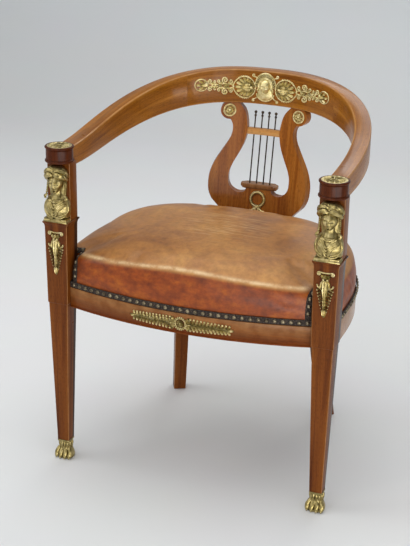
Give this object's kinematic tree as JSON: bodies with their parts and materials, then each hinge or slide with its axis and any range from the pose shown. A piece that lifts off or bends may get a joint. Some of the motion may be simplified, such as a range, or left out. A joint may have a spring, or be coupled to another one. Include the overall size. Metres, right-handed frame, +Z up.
{
  "type": "armchair",
  "caption": "Gondola armchair with a curved crest rail on figured front posts, a lyre back, bronze mounts and a stuffed leather seat.",
  "frame": {"origin": "on the floor, under the centre of the bounding box", "axes": "+X to the sitter's left side when seated, seen from the front as right; -Y to the front; +Z up"},
  "size_m": [0.6176, 0.518, 0.78],
  "materials": {
    "mahogany": "polished",
    "plain_wood": "matt",
    "gilt_bronze": "chased, partly worn gilding",
    "dark_metal": "dull",
    "leather": "worn and waxed",
    "gimp": "woven",
    "jute": "coarse"
  },
  "bodies": {
    "root": {"front_leg_left": "mahogany", "front_leg_right": "mahogany", "rear_leg_left": "mahogany", "rear_leg_right": "mahogany", "front_rail": "mahogany", "side_rail_left": "mahogany", "side_rail_right": "mahogany", "rear_rail": "mahogany", "corner_block_front_left": "plain_wood", "corner_block_front_right": "plain_wood", "corner_block_rear_left": "plain_wood", "corner_block_rear_right": "plain_wood", "frame_dowels": "plain_wood", "turned_cap_left": "mahogany", "turned_cap_right": "mahogany", "arm_left": "mahogany", "arm_right": "mahogany", "crest_back": "mahogany", "crest_dowels": "plain_wood", "lyre_splat": "mahogany", "lyre_crossbar": "mahogany", "lyre_bridge": "mahogany", "lyre_strings": "dark_metal", "webbing_lengthwise": "jute", "webbing_crosswise": "jute", "seat_stuffing": "jute", "seat_leather": "leather", "gimp_trim": "gimp", "paw_foot_left": "gilt_bronze", "paw_foot_right": "gilt_bronze", "bust_left": "gilt_bronze", "bust_right": "gilt_bronze", "cap_disc_left": "gilt_bronze", "cap_disc_right": "gilt_bronze", "palmette_drop_left": "gilt_bronze", "palmette_drop_right": "gilt_bronze", "frieze_mount": "gilt_bronze", "crest_mount": "gilt_bronze", "rosette_left": "gilt_bronze", "rosette_right": "gilt_bronze", "wreath_mount": "gilt_bronze"}
  },
  "joints": []
}
